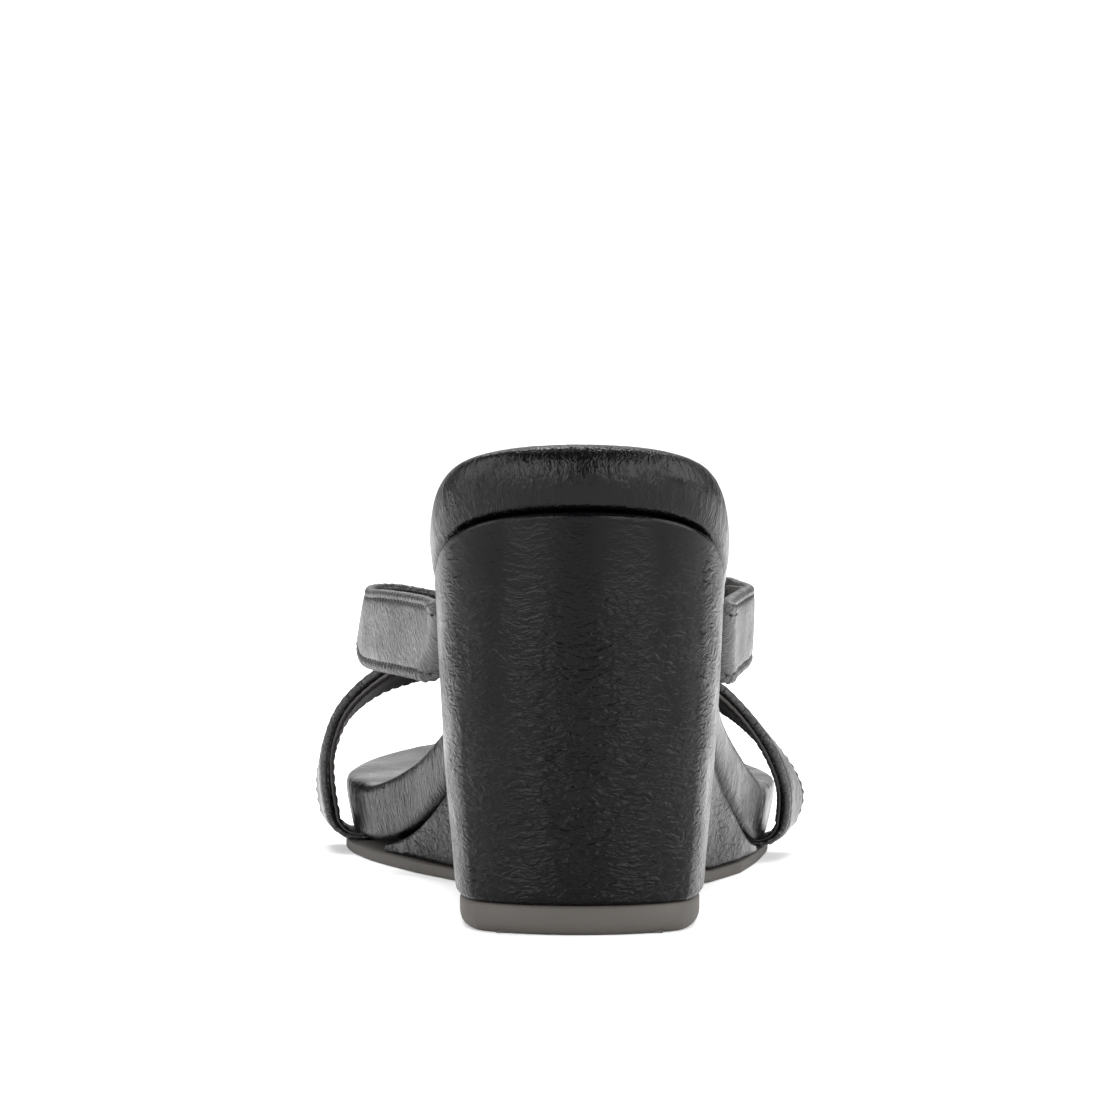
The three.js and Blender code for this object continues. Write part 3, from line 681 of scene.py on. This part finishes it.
def ribTree():
    # a bar on every point, scaled by the point's own lengths
    tree = bpy.data.node_groups.new("treadRibs", "GeometryNodeTree")
    tree.interface.new_socket("Geometry", in_out="INPUT", socket_type="NodeSocketGeometry")
    width = tree.interface.new_socket("Rib width", in_out="INPUT", socket_type="NodeSocketFloat")
    depth = tree.interface.new_socket("Rib depth", in_out="INPUT", socket_type="NodeSocketFloat")
    stuff = tree.interface.new_socket("Material", in_out="INPUT", socket_type="NodeSocketMaterial")
    tree.interface.new_socket("Geometry", in_out="OUTPUT", socket_type="NodeSocketGeometry")
    start = addNode(tree, "NodeGroupInput")
    bar = addNode(tree, "GeometryNodeMeshCube", {"Size": (1, 1, 1), "Vertices X": 2, "Vertices Y": 3,
                                                 "Vertices Z": 2})
    reach = addNode(tree, "GeometryNodeInputNamedAttribute", {"Name": "reach"}, data_type="FLOAT")
    size = addNode(tree, "ShaderNodeCombineXYZ", {"X": (reach, "Attribute"), "Y": (start, "Rib width"),
                                                 "Z": (start, "Rib depth")})
    placed = addNode(tree, "GeometryNodeInstanceOnPoints", {"Points": (start, "Geometry"),
                                                            "Instance": (bar, "Mesh"), "Scale": (size, 0)})
    real = addNode(tree, "GeometryNodeRealizeInstances", {"Geometry": (placed, 0)})
    done = addNode(tree, "GeometryNodeSetMaterial", {"Geometry": (real, 0), "Material": (start, "Material")})
    addNode(tree, "NodeGroupOutput", {"Geometry": (done, 0)})
    return tree, {"width": width.identifier, "depth": depth.identifier, "stuff": stuff.identifier}


def bakeNodes(carrier, tree, inputs, name):
    # run a node tree on a carrier and keep the result as a plain mesh
    modifier = carrier.modifiers.new("nodes", "NODES")
    modifier.node_group = tree
    for key, value in inputs.items():
        modifier[key] = value
    graph = bpy.context.evaluated_depsgraph_get()
    mesh = bpy.data.meshes.new_from_object(carrier.evaluated_get(graph))
    mesh.name = name
    result = bpy.data.objects.new(name, mesh)
    bpy.context.scene.collection.objects.link(result)
    bpy.data.objects.remove(carrier)
    return result


def treadRibs(name, low, high, insetOf, material):
    y = np.arange(low, high, tread["pitch"])
    border = tread["border"] + 0.4
    left, right = sideX(-1, y), sideX(1, y)
    left, right = left + insetOf(left, y) + border, right - insetOf(right, y) - border
    under = undersideHeight(y) - sole["fit"] - sole["outsole"] if low > 60 else np.zeros(len(y))
    points = np.column_stack([(left + right) / 2, y, under + tread["depth"] / 2 + 0.02])
    carrier = makePiece(name + "Points", points, [])
    reach = carrier.data.attributes.new("reach", "FLOAT", "POINT")
    reach.data.foreach_set("value", (right - left) * mm)
    tree, keys = ribTree()
    ribs = bakeNodes(carrier, tree, {keys["width"]: tread["width"] * mm, keys["depth"]: tread["depth"] * mm,
                                     keys["stuff"]: material}, name)
    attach(ribs, "root")


outsoleRubber = makeOutsole()
topLiftRubber = makeTopLift()
for piece, node, material in (
    (outsoleRubber, "outsole", soleRubber),
    (topLiftRubber, "heel_top_lift", liftRubberPaintedLight),
):
    pointOutwards(piece)
    piece.data.materials.append(material)
    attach(piece, "root")
    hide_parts(node)
treadRibs("outsoleRibs", along(112), along(212), outsoleInset, soleRubber)
treadRibs("topLiftRibs", 14, 56, liftInset, liftRubberPaintedLight)
print("soles made")


strap = {
    "width": 17.0,
    "face": 1.8,  # face leather with its turned edges and tape
    "lining": 0.6,
    "stations": 760,
    "stitchIn": 1.9,  # stitch line from the edge
    "stitchPitch": 2.3,
    "threadRadius": 0.3,
    "pucker": 0.38,
    "frontBend": 5.0,  # radius of the turn into the groove under the footbed, at the front ends
    "rearBend": 3.2,
    "tab": 4.0,  # length past the turn
}
strapThick = strap["face"] + sole["fit"] + strap["lining"]


def beside(side, station, out, rise):
    y = along(station)
    x = sideX(side, y) + side * (strapThick + sole["fit"] + out)
    return float(x), y, float(layer(sole["footbed"], y) + rise)


def across(station, share, rise):
    y = along(station)
    inner, outer = sideX(-1, y), sideX(1, y)
    x = inner + (outer - inner) * (share + 1) / 2
    return float(x), y, float(layer(sole["footbed"], y) + rise)


underStrapPath = [
    (beside(-1, 36, 0, -20), (0, 0, -1)),
    (beside(-1, 55, 0.1, -7.7), (0, 0, -1)),
    (beside(-1, 75, 6.4, 6.7), (-0.03, 0.05, -1)),
    (beside(-1, 97, 11.7, 22.1), (-0.05, 0.15, -0.98)),
    (beside(-1, 114, 9.3, 32), (-0.1, 0.35, -0.93)),
    (across(123, -1.24, 37.2), (-0.15, 0.72, -0.68)),
    (across(128, -1.06, 39.2), (-0.06, 0.93, -0.36)),
    (across(130.5, -0.78, 38.4), (0, 0.93, -0.36)),
    (across(132, -0.38, 35.2), (0.02, 0.93, -0.37)),
    (across(133.5, 0.02, 32.2), (0.03, 0.93, -0.37)),
    (across(135.5, 0.42, 28), (0.04, 0.93, -0.37)),
    (across(138, 0.72, 22.7), (0.03, 0.95, -0.33)),
    (across(141, 0.91, 16.4), (0.05, 0.97, -0.22)),
    (across(143, 1.05, 8.2), (0.14, 0.97, -0.18)),
    (beside(1, 145, 2, 0), (0.2, 0.98, -0.08)),
    (beside(1, 146, 2.1, -6.3), (0.2, 0.98, 0)),
    (beside(1, 146.5, 1.1, -12.5), (0.12, 0.99, 0)),
    (beside(1, 146.5, 0.2, -18), (0.06, 1, 0)),
]
overStrapPath = [
    (beside(1, 36, 0, -20), (0, 0, -1)),
    (beside(1, 55, 0.1, -8), (0, 0, -1)),
    (beside(1, 75, 1.4, 6.3), (-0.01, 0.1, -1)),
    (beside(1, 97, 2.9, 22.5), (-0.03, 0.2, -0.98)),
    (beside(1, 108, 1.2, 29.6), (-0.03, 0.4, -0.91)),
    (across(116, 1.01, 34.7), (0, 0.75, -0.65)),
    (across(121, 0.88, 38), (0.02, 0.93, -0.36)),
    (across(127, 0.56, 39), (0.42, 0.83, -0.36)),
    (across(134, 0.23, 39.2), (0.4, 0.84, -0.36)),
    (across(142.5, -0.15, 38.2), (0.38, 0.86, -0.35)),
    (across(152, -0.53, 33.2), (0.3, 0.9, -0.33)),
    (across(158, -0.76, 27.2), (0.15, 0.94, -0.3)),
    (across(160.5, -0.9, 23.3), (0, 0.97, -0.25)),
    (beside(-1, 161.5, 0.1, 16), (-0.02, 0.98, -0.18)),
    (beside(-1, 162, 3.4, 7.3), (-0.03, 1, -0.15)),
    (beside(-1, 162, 3.8, 1), (-0.07, 1, -0.05)),
    (beside(-1, 162, 3, -5.5), (-0.12, 1, 0)),
    (beside(-1, 162, 1.6, -12.5), (-0.1, 1, 0)),
    (beside(-1, 162, 0.4, -18), (-0.05, 1, 0)),
]


def relaxed(line, reach=20):
    # leather doesn't hold a sharp corner: each place is averaged with its neighbours
    weight = np.exp(-0.5 * (np.arange(-3 * reach, 3 * reach + 1) / reach) ** 2)
    held = np.pad(line, ((3 * reach, 3 * reach), (0, 0)), mode="reflect", reflect_type="odd")
    return np.stack([np.convolve(column, weight / weight.sum(), mode="valid") for column in held.T], axis=1)


def strapFrame(path, turn):
    # rear edge, direction across and direction out, at many places along a strap
    u = np.linspace(0, 1, 1600)
    rear = catmull([p for p, _ in path], u)
    lie = catmull([d for _, d in path], u, centripetal=False)
    rear, lie = relaxed(rear), relaxed(lie)
    lie /= np.linalg.norm(lie, axis=1)[:, None]
    tangent = np.gradient(rear, axis=0)
    out = np.cross(tangent, lie) * turn
    out /= np.linalg.norm(out, axis=1)[:, None]
    middle = rear + lie * strap["width"] / 2
    steps = np.r_[0, np.cumsum(np.linalg.norm(np.diff(middle, axis=0), axis=1))]
    return {"rear": rear, "lie": lie, "out": out, "steps": steps}


def bendAt(y):
    # radius of the turn into the groove, tighter at the rear ends
    share = smoothShare(y, along(100), along(125))
    return strap["rearBend"] + (strap["frontBend"] - strap["rearBend"]) * share


def strapPlaces(way, w, count):
    # even places along the strap, between its two ends in the groove
    line = way["rear"] + way["lie"] * w
    length = bendAt(line[:, 1]) * (math.pi / 2 - 1) + strap["tab"]
    kept = np.flatnonzero(line[:, 2] > layer(0.45, line[:, 1]) - length)
    at = np.linspace(way["steps"][max(kept[0] - 1, 0)], way["steps"][min(kept[-1] + 1, len(line) - 1)], count)
    return at, np.interp(at, way["steps"], np.arange(len(line)))


def strapPoints(way, where, w, depth, draw=0.0):
    # points of the strap; near the seam the strap turns in and lies flat and thin in the groove
    span = np.arange(len(way["rear"]))
    rear, lie, out = (np.stack([np.interp(where, span, way[k][:, j]) for j in range(3)], axis=1)
                      for k in ("rear", "lie", "out"))
    point = rear + lie * (w + draw)[:, None]
    bend = bendAt(point[:, 1])
    floor = layer(0.45, point[:, 1])
    slope = np.arctan((layer(0.45, point[:, 1] + 1) - layer(0.45, point[:, 1] - 1)) / 2)
    gone = np.maximum(bend - (point[:, 2] - floor), 0)
    point[:, 1] -= gone * np.cos(slope) * np.sin(slope)  # it folds square to the sloping groove
    floor = layer(0.45, point[:, 1])
    angle = np.minimum(gone / bend, math.pi / 2)
    inward = bend * (1 - np.cos(angle)) + np.maximum(gone - bend * math.pi / 2, 0)
    low = gone > 0
    point[low, 2] = (floor + bend * (1 - np.sin(angle)))[low]
    point[:, 0] -= np.sign(point[:, 0]) * inward
    out = out * np.cos(angle)[:, None] - np.array([0, 0, 1]) * np.sin(angle)[:, None]
    return point - out * (depth * (1 - 0.5 * np.sin(angle)))[:, None], point[:, 2] - floor


def strapSection(kind):
    # points round the band: across from the rear edge, and depth from the face
    width, ring = strap["width"], []
    if kind == "face":
        top, bottom, inset, r = 0.0, strap["face"], 0.0, 0.85
    else:
        top, bottom, inset, r = strap["face"] + 0.1, strapThick, 0.45, 0.25
    low, high = inset, width - inset
    for k in range(6):
        a = math.pi / 2 * k / 5
        ring.append((low + r * (1 - math.sin(a)), top + r * (1 - math.cos(a))))
    ring.reverse()
    for w in np.r_[1.1, 1.4, 1.65, 1.9, 2.15, 2.4, 2.8, 3.5, np.linspace(4.5, width - 4.5, 9),
                   width - 3.5, width - 2.8, width - 2.4, width - 2.15, width - 1.9, width - 1.65,
                   width - 1.4, width - 1.1]:
        ring.append((float(w), top))
    for k in range(6):
        a = math.pi / 2 * k / 5
        ring.append((high - r * (1 - math.sin(a)), top + r * (1 - math.cos(a))))
    ring += [(high, bottom - r * 0.6), (high - r * 0.6, bottom)]
    ring += [(float(w), bottom) for w in (width - 1.9, width * 0.66, width * 0.33, 1.9)]
    ring += [(low + r * 0.6, bottom), (low, bottom - r * 0.6)]
    return ring


def makeBand(name, way, kind, seed):
    width, pitch, inLine = strap["width"], strap["stitchPitch"], strap["stitchIn"]
    columns, lay = [], []
    for w, depth in strapSection(kind):
        at, where = strapPlaces(way, w, strap["stations"])
        fromEdge = min(w, width - w)
        pulled = 0.5 + 0.5 * np.cos(2 * np.pi * at / pitch)
        onFace = kind != "face" or depth < strap["face"] * 0.6
        sink = strap["pucker"] * math.exp(-((fromEdge - inLine) / 0.45) ** 2) * (0.4 + 0.6 * pulled) * onFace
        near = 0.4 if w < width / 2 else 1  # the rear edge is drawn smoother than the front one
        swell = 0.22 * near * math.exp(-((fromEdge - 0.8) / 0.7) ** 2) * (1 - pulled) * onFace
        puff = 0.3 * (1 - (2 * w / width - 1) ** 4) * (kind == "face" and depth < 0.5)
        wavy = 0.12 * softNoise(at / 6, np.full(len(at), w / 5), seed) * (kind == "face")
        draw = (-0.1 if w < width / 2 else 0.3) * (1 - pulled) * math.exp(-((fromEdge / 0.9) ** 2))
        line, _ = strapPoints(way, where, np.full(len(at), w), depth + sink - swell - puff - wavy, draw)
        columns.append(line)
        lay.append(np.column_stack([at, np.full(len(at), w)]))
    grid = np.stack(columns, axis=1)
    rows, count = grid.shape[:2]
    faces = gridFaces(rows, count, closedColumns=True)
    faces.append(list(range(count)))
    faces.append(list(range((rows - 1) * count, rows * count))[::-1])
    uv = np.stack(lay, axis=1).reshape(-1, 2) * uvUnit
    return makePiece(name, grid.reshape(-1, 3), faces, uv)


def stitchTree():
    # a rounded thread end to end along every line
    tree = bpy.data.node_groups.new("stitchLine", "GeometryNodeTree")
    tree.interface.new_socket("Geometry", in_out="INPUT", socket_type="NodeSocketGeometry")
    pitch = tree.interface.new_socket("Pitch", in_out="INPUT", socket_type="NodeSocketFloat")
    radius = tree.interface.new_socket("Thread radius", in_out="INPUT", socket_type="NodeSocketFloat")
    stuff = tree.interface.new_socket("Material", in_out="INPUT", socket_type="NodeSocketMaterial")
    tree.interface.new_socket("Geometry", in_out="OUTPUT", socket_type="NodeSocketGeometry")
    start = addNode(tree, "NodeGroupInput")
    curve = addNode(tree, "GeometryNodeMeshToCurve", {"Mesh": (start, "Geometry")})
    even = addNode(tree, "GeometryNodeResampleCurve", {"Curve": (curve, 0), "Length": (start, "Pitch")},
                   mode="LENGTH")
    tangent = addNode(tree, "GeometryNodeInputTangent")
    turned = addNode(tree, "FunctionNodeAlignEulerToVector", {"Vector": (tangent, 0)}, axis="X")
    bead = addNode(tree, "GeometryNodeMeshUVSphere", {"Segments": 8, "Rings": 6, "Radius": 1.0})
    longer = addNode(tree, "ShaderNodeMath", {0: (start, "Pitch"), 1: 0.40}, operation="MULTIPLY")
    size = addNode(tree, "ShaderNodeCombineXYZ", {"X": (longer, 0), "Y": (start, "Thread radius"),
                                                 "Z": (start, "Thread radius")})
    placed = addNode(tree, "GeometryNodeInstanceOnPoints", {"Points": (even, 0), "Instance": (bead, "Mesh"),
                                                          "Rotation": (turned, 0), "Scale": (size, 0)})
    real = addNode(tree, "GeometryNodeRealizeInstances", {"Geometry": (placed, 0)})
    done = addNode(tree, "GeometryNodeSetMaterial", {"Geometry": (real, 0), "Material": (start, "Material")})
    addNode(tree, "NodeGroupOutput", {"Geometry": (done, 0)})
    return tree, {"pitch": pitch.identifier, "radius": radius.identifier, "stuff": stuff.identifier}


def makeStitches(name, way):
    # thread shows on the face and on the lining, along both edges
    lines, edges = [], []
    width, inLine = strap["width"], strap["stitchIn"]
    for w in (inLine, width - inLine):
        for depth in (0.12, strapThick + 0.04):
            at, where = strapPlaces(way, w, 900)
            line, high = strapPoints(way, where, np.full(len(at), w), np.full(len(at), depth))
            line = line[high > 0.6]
            start = sum(len(part) for part in lines)
            edges += [(start + i, start + i + 1) for i in range(len(line) - 1)]
            lines.append(line)
    carrier = makePiece(name + "Lines", np.vstack(lines), [])
    carrier.data.edges.add(len(edges))
    carrier.data.edges.foreach_set("vertices", np.array(edges).ravel())
    tree, keys = stitchTree()
    return bakeNodes(carrier, tree, {keys["pitch"]: strap["stitchPitch"] * mm,
                                     keys["radius"]: strap["threadRadius"] * mm, keys["stuff"]: thread}, name)


def makeStrap(label, path, turn, seed):
    way = strapFrame(path, turn)
    face = makeBand(label + "StrapFace", way, "face", seed)
    lining = makeBand(label + "StrapLining", way, "lining", seed + 1)
    stitches = makeStitches(label + "StrapStitches", way)
    for piece, material in ((face, strapPatent), (lining, strapLiner)):
        pointOutwards(piece)
        piece.data.materials.append(material)
    for piece in (face, lining, stitches):
        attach(piece, "root")
    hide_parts(label + "_strap_face", label + "_strap_tape")
    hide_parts(label + "_strap_lining")


makeStrap("under", underStrapPath, 1, 31)
makeStrap("over", overStrapPath, -1, 41)
print("straps made")


# the frame's own pieces that stay, inside the shoe
stays = {
    "wedge_core": mouldedAbs,
    "bottom_filler": fibreBoard,
    "insole_board": fibreBoard,
    "footbed_foam": latexFoam,
    "heel_cushion": latexFoam,
    "shank": brightSteel,
}
for name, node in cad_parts.items():
    material = stays.get(name)
    if name.startswith(("shank_rivet", "heel_screw", "top_lift_nail")):
        material = brightSteel
    if material:
        node.data.materials.clear()
        node.data.materials.append(material)
print("inner pieces finished")


studio = {
    "floor": "#f4f4f4",
    "distance": 1.5,  # camera behind the heel
    "height": 0.178,
    "aside": -0.00385,  # from the heel's middle line
    "pitch": 3.97,
    "lens": 250.7,
    "worldStrength": 0.03,
}


def makeFloor():
    size, bend = 3.0, 0.6
    profile = [(-size, 0.0), (size - bend, 0.0)]
    for a in np.linspace(0, math.pi / 2, 12)[1:]:
        profile.append((size - bend + bend * math.sin(a), bend * (1 - math.cos(a))))
    profile.append((size, 2.6))
    points = [(x, y, z) for y, z in profile for x in (-4.0, 4.0)]
    mesh = bpy.data.meshes.new("studioFloor")
    mesh.from_pydata(points, [], gridFaces(len(profile), 2))
    mesh.polygons.foreach_set("use_smooth", [True] * len(mesh.polygons))
    floor = bpy.data.objects.new("studioFloor", mesh)
    bpy.context.scene.collection.objects.link(floor)
    paper = newMaterial("studioPaper", {"Base Color": linear(studio["floor"]), "Roughness": 0.9})[0]
    mesh.materials.append(paper)


def makeLight(name, place, aim, size, power):
    data = bpy.data.lights.new(name, "AREA")
    data.shape = "RECTANGLE"
    data.size, data.size_y = size
    data.energy = power
    light = bpy.data.objects.new(name, data)
    bpy.context.scene.collection.objects.link(light)
    light.location = place
    direction = np.subtract(aim, place)
    flat = math.hypot(direction[0], direction[1])
    tilt, turn = math.atan2(flat, -direction[2]), math.atan2(-direction[0], direction[1])
    light.rotation_euler = Euler((tilt, 0, turn))


def makeCamera():
    data = bpy.data.cameras.new("camera")
    data.lens = studio["lens"]
    data.sensor_width = 36
    data.clip_end = 50
    camera = bpy.data.objects.new("camera", data)
    bpy.context.scene.collection.objects.link(camera)
    behind = heelBack * mm - studio["distance"]
    camera.location = (centreLine * mm + studio["aside"], behind, studio["height"])
    camera.rotation_euler = (math.radians(90 - studio["pitch"]), 0, 0)
    bpy.context.scene.camera = camera


# place, aim, width and height in metres, and power in watts
lights = {
    "topSoftbox": ((0.0, 0.5, 1.1), (0, 0.2, 0), (1.3, 0.8), 5),
    "overheadFill": ((0.0, -0.25, 1.2), (0, -0.1, 0.1), (0.9, 0.35), 2),
    "leftSoftbox": ((-1.0, -0.1, 0.5), (0, -0.08, 0.05), (0.9, 0.9), 11),
    "rightSoftbox": ((1.0, -0.1, 0.5), (0, -0.08, 0.05), (0.9, 0.9), 15),
    "leftFrontSoftbox": ((-0.75, -1.1, 0.3), (0, -0.1, 0.06), (0.9, 0.8), 17),
    "rightFrontSoftbox": ((0.75, -1.1, 0.3), (0, -0.1, 0.06), (0.9, 0.8), 17),
    "rimStrip": ((0.0, 0.3, 1.25), (0, -0.1, 0.1), (0.9, 0.12), 18),
    "backLight": ((0.0, 1.7, 1.5), (0, 2.0, 0.2), (2.4, 1.2), 34),
}

makeFloor()
for name, values in lights.items():
    makeLight(name, *values)
makeCamera()
world = bpy.data.worlds.new("studioWorld")
world.use_nodes = True
backdrop = world.node_tree.nodes["Background"]
backdrop.inputs["Color"].default_value = linear("#ffffff")
backdrop.inputs["Strength"].default_value = studio["worldStrength"]
bpy.context.scene.world = world
bpy.context.scene.view_settings.view_transform = "Standard"
print("studio made")
